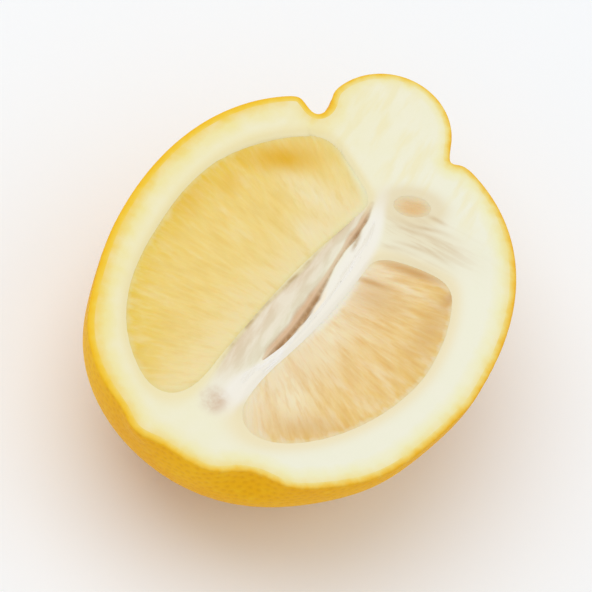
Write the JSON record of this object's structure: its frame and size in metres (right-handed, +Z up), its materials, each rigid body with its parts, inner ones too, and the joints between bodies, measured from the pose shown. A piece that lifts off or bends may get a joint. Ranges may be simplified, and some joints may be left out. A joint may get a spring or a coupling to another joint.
{
  "type": "half lemon",
  "caption": "Lemon cut in half lengthwise, lying on its rind with the cut face up, with white pith, pale pulp segments, a core and a knobbed nipple.",
  "frame": {"origin": "under the middle of the fruit's outline, on the surface it lies on", "axes": "+Y along the core towards the nipple, +Z up out of the cut face, +X across the fruit"},
  "size_m": [0.0638, 0.085, 0.027],
  "materials": {
    "rind": "satin",
    "pith": "matte",
    "pulp": "satin",
    "core": "matte"
  },
  "bodies": {
    "root": {"lemon_half": "rind"}
  },
  "joints": []
}
